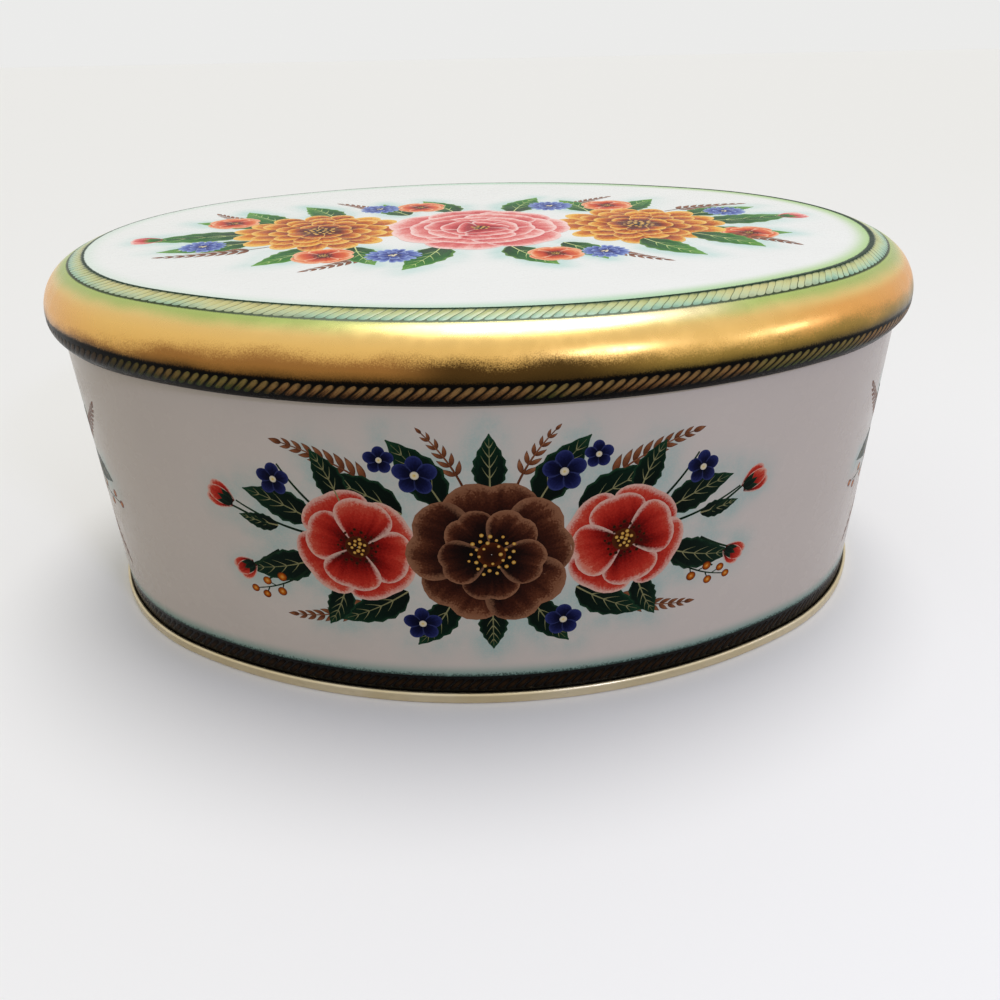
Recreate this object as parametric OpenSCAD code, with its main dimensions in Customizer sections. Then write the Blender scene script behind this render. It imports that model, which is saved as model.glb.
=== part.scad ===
// Oval tin box with a slip-on lid: a can body with a seamed base, and a drawn lid.
// The plan is a four-centre oval. The origin is on the table, under the middle of the box.
// Section outlines give the distance outside the body wall first, then the height.

/* [Plan] */
// Length of the body over its wall
body_length = 200; // [180:0.2:220]
// Width of the body over its wall
body_width = 148.8; // [142:0.2:160]
// Radius of the body's two rounded ends
end_radius = 64.16; // [58:0.02:68]

/* [Sheet] */
// Thickness of the tinplate
sheet = 0.3; // [0.2:0.05:0.4]

/* [Body] */
// Height of the body from the table to the top of its rolled edge
body_height = 80.4; // [50:0.2:140]
// Outer radius of the rolled edge
curl_radius = 1; // [0.8:0.1:1.4]
// How far the rolled edge is turned in, in degrees
curl_turn = 280; // [200:5:285]
// Width of the lock seam down the back
lock_width = 4; // [3:0.5:8]
// Width of the groove along the lock seam's outer edge
groove_width = 0.5; // [0.3:0.1:0.8]
// Depth of that groove
groove_depth = 0.12; // [0.05:0.01:0.15]
// Clear height between the lock seam and the rolled edge, and between the lock seam and the floor
lock_margin = 1.5; // [1:0.5:6]

/* [Base] */
// Height of the double seam round the base
seam_height = 2.7; // [2.4:0.1:4]
// Gap between the sheets of the double seam
seam_gap = 0.05; // [0.04:0.01:0.1]
// How far the rounded foot of the double seam is pressed flat
foot_flat = 0.1; // [0.05:0.01:0.15]
// Height of the sunk floor's underside above the table
floor_height = 3; // [2.6:0.1:6]
// Inner radius of the bend from the seam to the floor
floor_bend = 0.8; // [0.5:0.1:1.5]

/* [Lid] */
// Overhang of the lid's widest line beyond the body wall
lid_overhang = 2.7; // [2:0.1:5]
// Drop from the lid's widest line to its lower edge
skirt_drop = 4; // [3.6:0.1:12]
// Outer radius of the lid's shoulder
shoulder_radius = 10.5; // [8:0.1:13]
// Slope of the border round the top panel, in degrees
border_slope = 21; // [4:1:30]
// Width of that border, along its slope
border_width = 3.9; // [3:0.1:10]
// Length of the sheet folded up inside the lower edge
hem_length = 3.5; // [2:0.1:4]
// Gap inside the folded hem
hem_gap = 0.1; // [0.05:0.01:0.2]
// Clearance between the hem and the body wall
lid_clearance = 0.3; // [0.2:0.05:0.5]
// Clearance between the rolled edge and the shoulder that rests on it
seat_clearance = 0.3; // [0.2:0.05:0.5]

/* [Hidden] */
$fn = 180;

// Degrees between the points of a section's round stretches, and of its tight bends
arc_step = 6;
bend_step = 30;
// Arcs under this radius count as tight bends
tight_radius = 2;

// Plan: the ends' centres lie on the long axis, and the sides' on the short one.
// The sides' centre is kept to a micrometre, and the side radius follows it.
end_centre = body_length / 2 - end_radius;
end_rise = body_width / 2 - end_radius;
side_centre = round(1000 * (pow(end_centre, 2) - pow(end_rise, 2)) / (2 * end_rise)) / 1000;
side_radius = end_radius + norm([end_centre, side_centre]);

// The four arcs meet on the lines through their centres, which are drawn out well past the box.
wedge_reach = 20;
wedge_tip = [(1 + wedge_reach) * end_centre, wedge_reach * side_centre];
// How far cuts run past what they cut, and the sides' flat sheets past the long axis
past = 1;
// A hair of overlap between the ends and the sides, so that they merge
hair = 0.000001;
end_wedge = [[end_centre, 0], [wedge_tip.x, -wedge_tip.y], wedge_tip];
side_wedge = [
    [-end_centre, 0], [-end_centre, -past], [end_centre, -past], [end_centre, 0],
    wedge_tip, [-wedge_tip.x, wedge_tip.y]
];

// Double seam: five sheets side by side, counted outward from the chuck wall of the base.
layer_pitch = sheet + seam_gap;
hook_outside = seam_gap + sheet;
body_hook_inside = hook_outside + seam_gap;
body_hook_outside = body_hook_inside + sheet;
seam_inside = body_hook_outside + seam_gap;
seam_outside = seam_inside + sheet;
chuck_outside = -layer_pitch;
chuck_inside = chuck_outside - sheet;
// The two lower bends share one centre, and the top bend has its own.
hook_bend_radius = body_hook_inside / 2;
foot_bend_radius = (seam_inside - chuck_outside) / 2;
foot_centre = [hook_bend_radius, foot_bend_radius + sheet - foot_flat];
top_centre = [(hook_outside + seam_inside) / 2, seam_height - hook_bend_radius - sheet];
floor_top = floor_height + sheet;

// Body: the rolled edge turns inward from the top of the wall.
curl_centre = [-curl_radius, body_height - curl_radius];
lock_bottom = floor_top + lock_margin;
lock_top = body_height - 2 * curl_radius - lock_margin;

// Lid: the shoulder's inner face rests on the rolled edge, which sets the lid's height.
shoulder_d = lid_overhang - shoulder_radius;
seat_reach = shoulder_radius - sheet - curl_radius - seat_clearance;
shoulder_z = curl_centre.y - sqrt(pow(seat_reach, 2) - pow(curl_centre.x - shoulder_d, 2));
shoulder_centre = [shoulder_d, shoulder_z];
border_low = shoulder_centre + shoulder_radius * [sin(border_slope), cos(border_slope)];
border_high = border_low + border_width * [-cos(border_slope), sin(border_slope)];
lid_top = border_high.y;
// Where the inner faces of the panel and the border meet
panel_corner = border_high - sheet * [tan(border_slope / 2), 1];
// The skirt curves in from the widest line to the hem's fold. Its middle line has this arc.
fold_radius = sheet + hem_gap / 2;
skirt_run = (lid_overhang - fold_radius) - (lid_clearance + fold_radius);
skirt_fall = skirt_drop - fold_radius;
skirt_turn = 2 * atan(skirt_run / skirt_fall);
skirt_radius = skirt_fall / sin(skirt_turn);
skirt_centre = [lid_overhang - fold_radius - skirt_radius, shoulder_z];
fold_centre = skirt_centre + skirt_radius * [cos(skirt_turn), -sin(skirt_turn)];
hem_turn = hem_length / skirt_radius * 180 / PI;

// Points along an arc, in either direction.
function arc(centre, radius, from, to) =
    let (step = radius < tight_radius ? bend_step : arc_step)
    let (steps = ceil(abs(to - from) / step))
    [for (i = [0 : steps]) let (a = from + (to - from) * i / steps) centre + radius * [cos(a), sin(a)]];

// Moves a section out to its radius by whole millimetres, then micrometres, then the rest,
// which keeps the last digits of a long radius.
module at_radius(radius) {
    whole = floor(radius);
    fine = floor(1000 * (radius - whole)) / 1000;
    translate([whole, 0])
        translate([fine, 0])
            translate([radius - whole - fine, 0])
                children();
}

// Turns a section about the axis of one arc of the plan and keeps the wedge that belongs to it.
module arc_sweep(centre, radius, wedge) {
    intersection() {
        translate([centre.x, centre.y, 0])
            rotate_extrude()
                intersection() {
                    at_radius(radius) children();
                    translate([0, -past]) square([2 * body_length, lid_top + 2 * past]);
                }
        translate([0, 0, -past])
            linear_extrude(lid_top + 2 * past)
                polygon(wedge);
    }
}

// Carries a section all the way round the oval.
module oval_sweep() {
    for (turn = [0, 180])
        rotate([0, 0, turn]) {
            arc_sweep([end_centre, 0], end_radius, [for (p = end_wedge) p - [hair, 0]]) children();
            arc_sweep([0, -side_centre], side_radius, side_wedge) children();
        }
}

// Body wall: hook at the bottom, straight sheet, rolled edge at the top.
module body_section() {
    polygon(concat(
        arc(curl_centre, curl_radius, 0, curl_turn),
        arc(curl_centre, curl_radius - sheet, curl_turn, 0),
        arc(foot_centre, hook_bend_radius + sheet, 180, 360),
        [[body_hook_outside, top_centre.y], [body_hook_inside, top_centre.y]],
        arc(foot_centre, hook_bend_radius, 360, 180)
    ));
}

// Extra sheets of the lock seam, which lie inside the wall.
module lock_section() {
    translate([-3 * sheet, lock_bottom])
        square([2.5 * sheet, lock_top - lock_bottom]);
}

module body_wall() color([0.90, 0.89, 0.86]) {
    difference() {
        union() {
            oval_sweep() body_section();
            intersection() {
                oval_sweep() lock_section();
                translate([-lock_width / 2, 0, 0])
                    cube([lock_width, body_width, body_height]);
            }
        }
        translate([lock_width / 2, body_width / 2 - groove_depth, seam_height])
            cube([groove_width, body_width, lock_top - seam_height]);
    }
}

// Base: sunk floor, chuck wall, foot, seam wall and the hook tucked behind the wall's own hook.
module base_section() {
    floor_centre = [chuck_inside - floor_bend, floor_height - floor_bend];
    difference() {
        polygon(concat(
            [[-2 * body_length, floor_height]],
            arc(floor_centre, floor_bend, 90, 0),
            arc(foot_centre, foot_bend_radius + sheet, 180, 360),
            arc(top_centre, hook_bend_radius + sheet, 0, 180),
            [[seam_gap, foot_centre.y], [hook_outside, foot_centre.y]],
            arc(top_centre, hook_bend_radius, 180, 0),
            arc(foot_centre, foot_bend_radius, 360, 180),
            arc(floor_centre, floor_bend + sheet, 0, 90),
            [[-2 * body_length, floor_top]]
        ));
        translate([chuck_inside - past, -past]) square([seam_outside - chuck_inside + 2 * past, past]);
    }
}

module base_plate() color([0.78, 0.66, 0.42])
    oval_sweep() base_section();

// Lid: top panel, sloping border, shoulder, skirt and the hem folded up inside it.
module lid_section() {
    hem_end = hem_turn - skirt_turn;
    polygon(concat(
        [[-2 * body_length, lid_top], border_high],
        arc(shoulder_centre, shoulder_radius, 90 - border_slope, 0),
        arc(skirt_centre, skirt_radius + fold_radius, 0, -skirt_turn),
        arc(fold_centre, fold_radius, -skirt_turn, -skirt_turn - 180),
        arc(skirt_centre, skirt_radius - fold_radius, -skirt_turn, hem_end),
        arc(skirt_centre, skirt_radius - hem_gap / 2, hem_end, -skirt_turn),
        arc(fold_centre, hem_gap / 2, -skirt_turn - 180, -skirt_turn),
        arc(skirt_centre, skirt_radius + hem_gap / 2, -skirt_turn, 0),
        arc(shoulder_centre, shoulder_radius - sheet, 0, 90 - border_slope),
        [panel_corner, [-2 * body_length, lid_top - sheet]]
    ));
}

module lid() color([0.82, 0.64, 0.34])
    oval_sweep() lid_section();

body_wall();
base_plate();
lid();
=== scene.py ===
"""Looks of the oval tin box: printed wall and lid, seamed base, ropes, floral sprays, light and camera."""
import math
import random

import bpy
import numpy as np
from mathutils import Matrix, Vector


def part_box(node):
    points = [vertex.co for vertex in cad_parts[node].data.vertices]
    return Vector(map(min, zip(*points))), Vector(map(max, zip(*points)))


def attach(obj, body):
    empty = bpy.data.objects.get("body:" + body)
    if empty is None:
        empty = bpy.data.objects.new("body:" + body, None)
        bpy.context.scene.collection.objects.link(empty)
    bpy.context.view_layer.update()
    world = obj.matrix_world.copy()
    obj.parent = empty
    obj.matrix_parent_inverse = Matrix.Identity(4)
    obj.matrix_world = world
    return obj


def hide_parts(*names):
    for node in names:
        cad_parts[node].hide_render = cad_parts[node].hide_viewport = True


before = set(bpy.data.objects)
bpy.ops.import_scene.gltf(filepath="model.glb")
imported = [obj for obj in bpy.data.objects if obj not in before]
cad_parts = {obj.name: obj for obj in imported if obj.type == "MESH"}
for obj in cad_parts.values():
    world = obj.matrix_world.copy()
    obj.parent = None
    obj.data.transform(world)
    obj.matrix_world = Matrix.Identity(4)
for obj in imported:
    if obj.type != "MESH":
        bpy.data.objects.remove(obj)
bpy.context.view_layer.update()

# All lengths below are in millimetres and turn into metres when a mesh is made
MM = 0.001

# Plan of the body wall, a four-centre oval
BODY_LENGTH = 200.0
BODY_WIDTH = 148.8
END_RADIUS = 64.16
END_CENTRE = BODY_LENGTH / 2 - END_RADIUS
END_RISE = BODY_WIDTH / 2 - END_RADIUS
SIDE_CENTRE = (END_CENTRE ** 2 - END_RISE ** 2) / (2 * END_RISE)
SIDE_RADIUS = BODY_WIDTH / 2 + SIDE_CENTRE
END_ANGLE = math.atan2(SIDE_CENTRE, END_CENTRE)
SIDE_RUN = SIDE_RADIUS * (math.pi / 2 - END_ANGLE)
END_RUN = 2 * END_RADIUS * END_ANGLE
PERIMETER = 4 * SIDE_RUN + 2 * END_RUN
BACK = PERIMETER / 2
RIGHT = PERIMETER / 4

# Sheet metal sizes, as in the solids
SHEET = 0.3
CURL_RADIUS = 1.0
CURL_TURN = 280
BODY_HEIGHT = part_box("body_wall")[1].z / MM
CURL_CENTRE = (-CURL_RADIUS, BODY_HEIGHT - CURL_RADIUS)
SEAM_HEIGHT = 2.7
SEAM_GAP = 0.05
FOOT_CENTRE = (0.2, 0.75)
TOP_CENTRE = (0.55, 2.2)
HOOK_BEND = 0.2
FOOT_BEND = 0.55
CHUCK_INSIDE = -0.65
FLOOR_HEIGHT = 3.0
FLOOR_BEND = 0.8
LOCK_WIDTH = 4.0
LOCK_BOTTOM = 4.8
LOCK_TOP = BODY_HEIGHT - 3.5
LOCK_DEPTH = 2 * SHEET
LOCK_EDGE = 0.05
GROOVE_WIDTH = 0.5
GROOVE_DEPTH = 0.12
LID_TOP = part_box("lid")[1].z / MM
LID_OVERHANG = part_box("lid")[1].x / MM - BODY_LENGTH / 2
SHOULDER_RADIUS = 10.5
BORDER_SLOPE = math.radians(21)
BORDER_WIDTH = 3.9
HEM_GAP = 0.1
HEM_LENGTH = 3.5
SKIRT_DROP = 4.0
LID_CLEARANCE = 0.3

# Lid section: the outer skin is measured along its profile from the edge of the flat panel
SHOULDER_D = LID_OVERHANG - SHOULDER_RADIUS
SHOULDER_Z = LID_TOP - BORDER_WIDTH * math.sin(BORDER_SLOPE) - SHOULDER_RADIUS * math.cos(BORDER_SLOPE)
PANEL_D = SHOULDER_D + SHOULDER_RADIUS * math.sin(BORDER_SLOPE) - BORDER_WIDTH * math.cos(BORDER_SLOPE)
FOLD_RADIUS = SHEET + HEM_GAP / 2
SKIRT_RUN = (LID_OVERHANG - FOLD_RADIUS) - (LID_CLEARANCE + FOLD_RADIUS)
SKIRT_FALL = SKIRT_DROP - FOLD_RADIUS
SKIRT_TURN = 2 * math.atan(SKIRT_RUN / SKIRT_FALL)
SKIRT_RADIUS = SKIRT_FALL / math.sin(SKIRT_TURN)
SKIRT_D = LID_OVERHANG - FOLD_RADIUS - SKIRT_RADIUS
FOLD_D = SKIRT_D + SKIRT_RADIUS * math.cos(SKIRT_TURN)
FOLD_CENTRE = (FOLD_D, SHOULDER_Z - SKIRT_RADIUS * math.sin(SKIRT_TURN))
WIDEST = BORDER_WIDTH + SHOULDER_RADIUS * (math.pi / 2 - BORDER_SLOPE)
SKIN_END = WIDEST + (SKIRT_RADIUS + FOLD_RADIUS) * SKIRT_TURN
# The printed panel lies a hair below the solid's top, so that the ink stays inside the part's box
PANEL_SINK = 0.09
PANEL_SINK_RUN = 0.6
# So does the skin under the lower rope
ROPE_SINK = 0.05
ROPE_SINK_START = 15.4
ROPE_SINK_END = 16.0

# Print: where the borders run along the lid's skin and up the wall, and the heights of the sprays' middles
ROPE_TOP_START = 0.3
ROPE_TOP_END = 3.55
ROPE_LOW_START = 16.2
ROPE_LOW_END = 19.1
BASE_BAND_TOP = 7.0
ROPE_BASE_START = SEAM_HEIGHT + 0.5
ROPE_BASE_END = BASE_BAND_TOP - 0.7
SPRAY_HEIGHT = 38.0
END_SPRAY_HEIGHT = 36.5
# Ink films: height of the first above the sheet, step from one to the next, and depth below its face
FILM_FIRST = 0.008
FILM_STEP = 0.003
FILM_DEPTH = 0.03
# Reach of the soft glow round the leaves
GLOW_REACH = 3.6
# Cells of the map that counts films lying over one another, and the half-size of that map
FILM_CELL = 0.4
FILM_MAP = 100.0

# Columns of the swept meshes, their least gap, and how far the edges of the groove and the lock seam run
COLUMNS = 480
COLUMN_GAP = 0.03
GROOVE_EDGE = 0.04
LOCK_RUN = 0.1
# Insets and scales of the rings on flat panels, and the print coordinate's fall from the last inset
PANEL_INSETS = (0.2, 0.6, 1.2, 2.0, 3.0, 4.0, 6.0)
INNER_SCALES = (0.25, 0.5, 0.75, 0.92)
PANEL_FALL = 60


def srgb(red, green, blue):
    """Linear colour of an sRGB colour in steps of 255."""
    steps = (red / 255, green / 255, blue / 255)
    return tuple(c / 12.92 if c <= 0.04045 else ((c + 0.055) / 1.055) ** 2.4 for c in steps) + (1.0,)


# Plan and profiles

def around(s):
    """Plan point of the wall's outer face and the outward normal, at arc length s from the front's middle."""
    s = np.mod(s + SIDE_RUN, PERIMETER)
    starts = np.cumsum([0.0, 2 * SIDE_RUN, END_RUN, 2 * SIDE_RUN])
    angles = np.array([END_ANGLE - math.pi, -END_ANGLE, END_ANGLE, math.pi - END_ANGLE])
    centres = np.array([(0, SIDE_CENTRE), (END_CENTRE, 0), (0, -SIDE_CENTRE), (-END_CENTRE, 0)])
    radii = np.array([SIDE_RADIUS, END_RADIUS, SIDE_RADIUS, END_RADIUS])
    part = np.searchsorted(starts, s, side="right") - 1
    angle = angles[part] + (s - starts[part]) / radii[part]
    normal = np.stack([np.cos(angle), np.sin(angle)], axis=-1)
    return centres[part] + radii[part][..., None] * normal, normal


def ring(s, d, z):
    """Points at distance d outside the wall and height z, each a number or one value per column."""
    point, normal = around(s)
    flat = point + np.broadcast_to(d, s.shape)[..., None] * normal
    return np.concatenate([flat, np.broadcast_to(z, s.shape)[..., None]], axis=-1)


def shrunk(outline, scales):
    """Copies of a ring, scaled about the middle of the tin at its own height."""
    return [outline * (scale, scale, 1) for scale in scales]


def arc(centre, radius, first, last, count):
    """Points along an arc of a section, with angles in degrees."""
    angles = np.radians(np.linspace(first, last, count))
    return [(centre[0] + radius * math.cos(a), centre[1] + radius * math.sin(a)) for a in angles]


def lid_skin(v):
    """Distance, height and normal of the lid's outer skin at profile distance v from the panel's edge."""
    v = np.asarray(v, float)
    on_skirt = v >= WIDEST
    centre = np.where(on_skirt, SKIRT_D, SHOULDER_D)
    radius = np.where(on_skirt, SKIRT_RADIUS + FOLD_RADIUS, SHOULDER_RADIUS)
    angle = (WIDEST - np.maximum(v, BORDER_WIDTH)) / radius
    up_slope = np.maximum(BORDER_WIDTH - v, 0.0)
    sink = ROPE_SINK * np.clip((v - ROPE_SINK_START) / (ROPE_SINK_END - ROPE_SINK_START), 0.0, 1.0)
    d = centre + radius * np.cos(angle) - up_slope * math.cos(BORDER_SLOPE) - sink
    z = SHOULDER_Z + radius * np.sin(angle) + up_slope * math.sin(BORDER_SLOPE)
    return d, z, np.cos(angle), np.sin(angle)


def on_lid_skin(s, v, lift):
    """Point on the lid's skin at s round it and v down its profile, lifted off along the normal."""
    d, z, out, up = lid_skin(v)
    return ring(s, d + lift * out, z + lift * up)


def on_wall(s, v, lift):
    """Point on the wall's outer face at s round it and height v, lifted off along the normal."""
    return ring(s, lift, v)


def on_panel(x, y, lift):
    """Point on the lid's flat panel, lifted off upward."""
    return np.stack([x, y, np.full(x.shape, LID_TOP - PANEL_SINK + lift)], axis=-1)


# Node materials

class Look:
    """A material and short calls that add nodes to it."""

    def __init__(self, name):
        self.material = bpy.data.materials.new(name)
        self.material.use_nodes = True
        self.tree = self.material.node_tree
        self.shader = self.tree.nodes["Principled BSDF"]

    def put(self, socket, value):
        if isinstance(value, bpy.types.NodeSocket):
            self.tree.links.new(value, socket)
        else:
            socket.default_value = value

    def add(self, kind, inputs=None, **settings):
        node = self.tree.nodes.new(kind)
        for key, value in settings.items():
            setattr(node, key, value)
        for key, value in (inputs or {}).items():
            self.put(node.inputs[key], value)
        return node

    def math(self, operation, first, second=0.0, third=0.0):
        inputs = {0: first, 1: second, 2: third}
        return self.add("ShaderNodeMath", inputs, operation=operation).outputs[0]

    def times(self, first, second):
        return self.math("MULTIPLY", first, second)

    def plus(self, first, second):
        return self.math("ADD", first, second)

    def shifted(self, value, offset, amount):
        """Value plus offset times amount."""
        return self.math("MULTIPLY_ADD", offset, amount, value)

    def mix(self, factor, first, second, blend="MIX"):
        inputs = {0: factor, 6: first, 7: second}
        return self.add("ShaderNodeMix", inputs, data_type="RGBA", blend_type=blend).outputs[2]

    def span(self, value, low, high, first=0.0, last=1.0):
        """Smooth step of value from first at low to last at high."""
        inputs = {0: value, 1: low, 2: high, 3: first, 4: last}
        return self.add("ShaderNodeMapRange", inputs, interpolation_type="SMOOTHSTEP").outputs[0]

    def window(self, value, rise, full, fade, end):
        """Smooth step up from rise to full, and down again from fade to end."""
        return self.times(self.span(value, rise, full), self.span(value, fade, end, 1.0, 0.0))

    def part(self, value, low, high):
        """Share of the way of value from low to high, between 0 and 1."""
        return self.add("ShaderNodeMapRange", {0: value, 1: low, 2: high}).outputs[0]

    def ramp(self, value, stops):
        """Colour at a value between stops, each a position and an sRGB colour."""
        node = self.add("ShaderNodeValToRGB", {0: value})
        elements = node.color_ramp.elements
        while len(elements) < len(stops):
            elements.new(1.0)
        for element, (position, rgb) in zip(elements, stops):
            element.position = position
            element.color = srgb(*rgb)
        return node.outputs[0]

    def noise(self, vector, scale, detail=2.0, rough=0.5):
        inputs = {"Vector": vector, "Scale": scale, "Detail": detail, "Roughness": rough}
        return self.add("ShaderNodeTexNoise", inputs).outputs["Fac"]

    def swing(self, vector, scale, detail=2.0, rough=0.5):
        """Noise that swings about zero."""
        return self.math("SUBTRACT", self.noise(vector, scale, detail, rough), 0.5)

    def place(self):
        """Position in the part's own frame, in metres."""
        return self.add("ShaderNodeTexCoord").outputs["Object"]

    def scaled(self, vector, x, y, z):
        return self.add("ShaderNodeMapping", {0: vector, 3: (x, y, z)}).outputs[0]

    def axes(self, vector):
        return self.add("ShaderNodeSeparateXYZ", {0: vector}).outputs

    def attribute(self, name, kind):
        return self.add("ShaderNodeAttribute", attribute_name=name).outputs[kind]

    def print_map(self):
        """Print coordinate along the profile, in millimetres."""
        return self.axes(self.add("ShaderNodeUVMap", uv_map="Print").outputs[0])[1]

    def vector(self, x, y, z):
        return self.add("ShaderNodeCombineXYZ", {0: x, 1: y, 2: z}).outputs[0]

    def bump(self, height, strength, distance):
        inputs = {"Height": height, "Strength": strength, "Distance": distance}
        self.put(self.shader.inputs["Normal"], self.add("ShaderNodeBump", inputs).outputs[0])

    def finish(self, **sockets):
        for key, value in sockets.items():
            self.put(self.shader.inputs[key.replace("_", " ")], value)
        return self.material


# Gloss of the printed inks and of the wall, as the reflection level of the shader
INK_GLOSS = 0.03
WALL_GLOSS = 0.1
WHITE_WALL = srgb(236, 222, 207)
WHITE_PANEL = srgb(238, 238, 232)
BLACK_INK = srgb(8, 6, 4)


def worn_white(look, white, place):
    """White print with faint mottling and sparse specks of dirt and rust."""
    cloud = look.noise(place, 60.0, 4.0)
    shade = look.mix(look.span(cloud, 0.35, 0.75), white, tuple(0.98 * c for c in white[:3]) + (1.0,))
    cells = look.add("ShaderNodeTexVoronoi", {"Vector": place, "Scale": 95.0})
    near = look.span(cells.outputs["Distance"], 0.012, 0.028, 1.0, 0.0)
    rare = look.add("ShaderNodeSeparateColor", {0: cells.outputs["Color"]}).outputs[0]
    speck = look.times(near, look.math("GREATER_THAN", rare, 0.8))
    return look.mix(look.times(speck, 0.75), shade, srgb(92, 66, 46))


def wall_look():
    look = Look("white_wall_print")
    place = look.place()
    height = look.print_map()
    fine = look.noise(place, 2600.0, 1.0)
    soft = look.noise(place, 130.0, 3.0)
    colour = worn_white(look, WHITE_WALL, place)
    # Soft glow round the leaves of the sprays
    glow = look.times(look.attribute("glow", "Fac"), look.span(soft, 0.32, 0.66, 0.25, 1.0))
    glow = look.times(glow, look.span(fine, 0.25, 0.7, 0.7, 1.0))
    colour = look.mix(look.times(glow, 0.62), colour, srgb(146, 200, 190))
    # Teal fade above the base band, stippled dark where they meet
    fade = look.math("POWER", look.span(height, BASE_BAND_TOP, BASE_BAND_TOP + 4.0, 1.0, 0.0), 1.3)
    colour = look.mix(look.times(fade, 0.85), colour, srgb(124, 172, 156))
    reach = look.shifted(height, look.math("SUBTRACT", fine, 0.5), 2.0)
    stipple = look.span(reach, BASE_BAND_TOP, BASE_BAND_TOP + 1.0, 0.85, 0.0)
    colour = look.mix(stipple, colour, srgb(24, 42, 35))
    band = look.span(height, BASE_BAND_TOP - 0.12, BASE_BAND_TOP + 0.1, 1.0, 0.0)
    colour = look.mix(band, colour, BLACK_INK)
    # Faint rubbing along the foot of the band
    rub = look.noise(look.scaled(place, 400.0, 400.0, 2500.0), 1.0, 4.0)
    rub = look.times(look.span(rub, 0.6, 0.74), look.span(height, 2.7, 4.4, 0.55, 0.0))
    colour = look.mix(rub, colour, srgb(120, 100, 70))
    rough = look.span(look.noise(place, 210.0, 4.0), 0.3, 0.75, 0.2, 0.32)
    look.bump(look.noise(place, 300.0, 2.0), 0.015, 0.00005)
    return look.finish(Base_Color=colour, Roughness=rough, Specular_IOR_Level=WALL_GLOSS)


def shoulder_gold(look, place, x, y, v, grain):
    """Gold of the lid's shoulder, green beside the upper rope and brown above the lower one."""
    blotch = look.swing(look.scaled(place, 70.0, 70.0, 160.0), 1.0, 3.0, 0.6)
    gold = look.ramp(look.part(v, 4.0, 12.0), [
        (0.0, (226, 214, 152)), (0.14, (232, 212, 144)), (0.32, (242, 210, 136)),
        (0.5, (246, 204, 124)), (0.7, (250, 202, 116)), (1.0, (246, 194, 106)),
    ])
    # Redder towards both ends
    red = look.math("MAXIMUM", look.span(x, 0.045, 0.07), look.span(x, -0.09, -0.07, 0.6, 0.0))
    red = look.times(red, look.span(v, 7.2, 9.4))
    gold = look.mix(red, gold, look.mix(1.0, gold, (0.96, 0.77, 0.7, 1.0), "MULTIPLY"))
    # Brown in blotches and stipple, darkest in the middle of the front, where the extra dark is painted dark
    # reflection
    shift = look.shifted(look.times(grain, 3.0), blotch, 4.5)
    brown = look.ramp(look.part(look.shifted(v, shift, 0.3), 12.2, 16.1), [
        (0.0, (172, 128, 68)), (0.38, (164, 121, 60)), (0.58, (140, 104, 50)),
        (0.75, (100, 75, 36)), (0.88, (54, 40, 19)), (1.0, (16, 11, 6)),
    ])
    tint = look.mix(look.span(x, -0.01, 0.04), (1.0, 0.86, 0.84, 1.0), (1.0, 1.2, 1.1, 1.0))
    brown = look.mix(1.0, brown, tint, "MULTIPLY")
    # Painted dark reflection: deeper brown only in the middle of the front
    middle = look.times(look.window(x, -0.019, -0.005, 0.014, 0.034), look.math("LESS_THAN", y, 0.0))
    brown = look.mix(look.times(middle, 0.85), brown, srgb(56, 40, 17))
    # The gold reaches lower at the left end, and less low between there and the middle
    early = look.plus(look.span(x, -0.08, -0.05, -1.6, 0.9), look.span(x, 0.006, 0.022, 0.0, -0.9))
    fall = look.plus(look.plus(early, v), shift)
    gold = look.mix(look.span(fall, 10.9, 14.0), gold, brown)
    # Green glow beside the upper rope, weakened towards the middle as painted highlight
    near = look.shifted(look.shifted(v, grain, 1.4), blotch, 2.4)
    aside = look.math("ABSOLUTE", look.math("SUBTRACT", x, 0.006))
    glow = look.times(look.span(near, 4.4, 8.2, 1.0, 0.0), look.span(aside, 0.012, 0.045, 0.1, 0.9))
    gold = look.mix(glow, gold, srgb(174, 196, 108))
    # Paler gold beside that rope, to the right of the middle: painted highlight, the pale flank of the shine
    # there
    pale = look.times(look.window(x, 0.008, 0.024, 0.034, 0.052), look.span(v, 5.2, 7.6, 0.75, 0.0))
    return look.mix(pale, gold, srgb(242, 220, 176))


def panel_white(look, place, x, v, grain):
    """White panel with the glow of the leaves, and a green glow inside its border that grows to the right."""
    panel = worn_white(look, WHITE_PANEL, place)
    soft = look.noise(place, 110.0, 3.0)
    glow = look.times(look.attribute("glow", "Fac"), look.span(soft, 0.3, 0.66, 0.3, 1.0))
    panel = look.mix(look.times(glow, 0.6), panel, srgb(150, 208, 196))
    rim_v = look.plus(v, look.span(x, -0.04, 0.03, 0.0, 1.2))
    rim = look.math("POWER", look.span(look.shifted(rim_v, grain, 1.2), -5.0, 0.4), 1.6)
    rim = look.times(rim, look.span(x, -0.08, 0.07, 0.3, 0.85))
    green = look.mix(look.span(x, 0.0, 0.07), srgb(160, 212, 172), srgb(168, 206, 122))
    return look.mix(rim, panel, green)


def rope_ground(look, colour, x, v, grain):
    """Ground of the upper rope over a colour, a dark inner line and a soft grey outer one, paler mid-side as
    painted highlight.
    """
    rough_v = look.shifted(v, grain, 0.4)
    ground = look.window(rough_v, -0.3, -0.16, 3.85, 4.25)
    # Painted highlight: the outer line is paler towards the middle of the front and back
    side = look.math("ABSOLUTE", x)
    outer_line_with_painted_highlight = look.mix(look.span(side, 0.02, 0.06), srgb(118, 130, 108), srgb(62, 74, 48))
    colour = look.mix(ground, colour, outer_line_with_painted_highlight)
    wide_v = look.shifted(look.plus(v, look.span(x, 0.0, 0.07, 0.0, 0.6)), grain, 1.0)
    inner = look.times(look.span(wide_v, -0.36, -0.1), look.span(rough_v, 0.3, 0.42, 1.0, 0.0))
    return look.mix(inner, colour, srgb(16, 48, 25))


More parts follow.
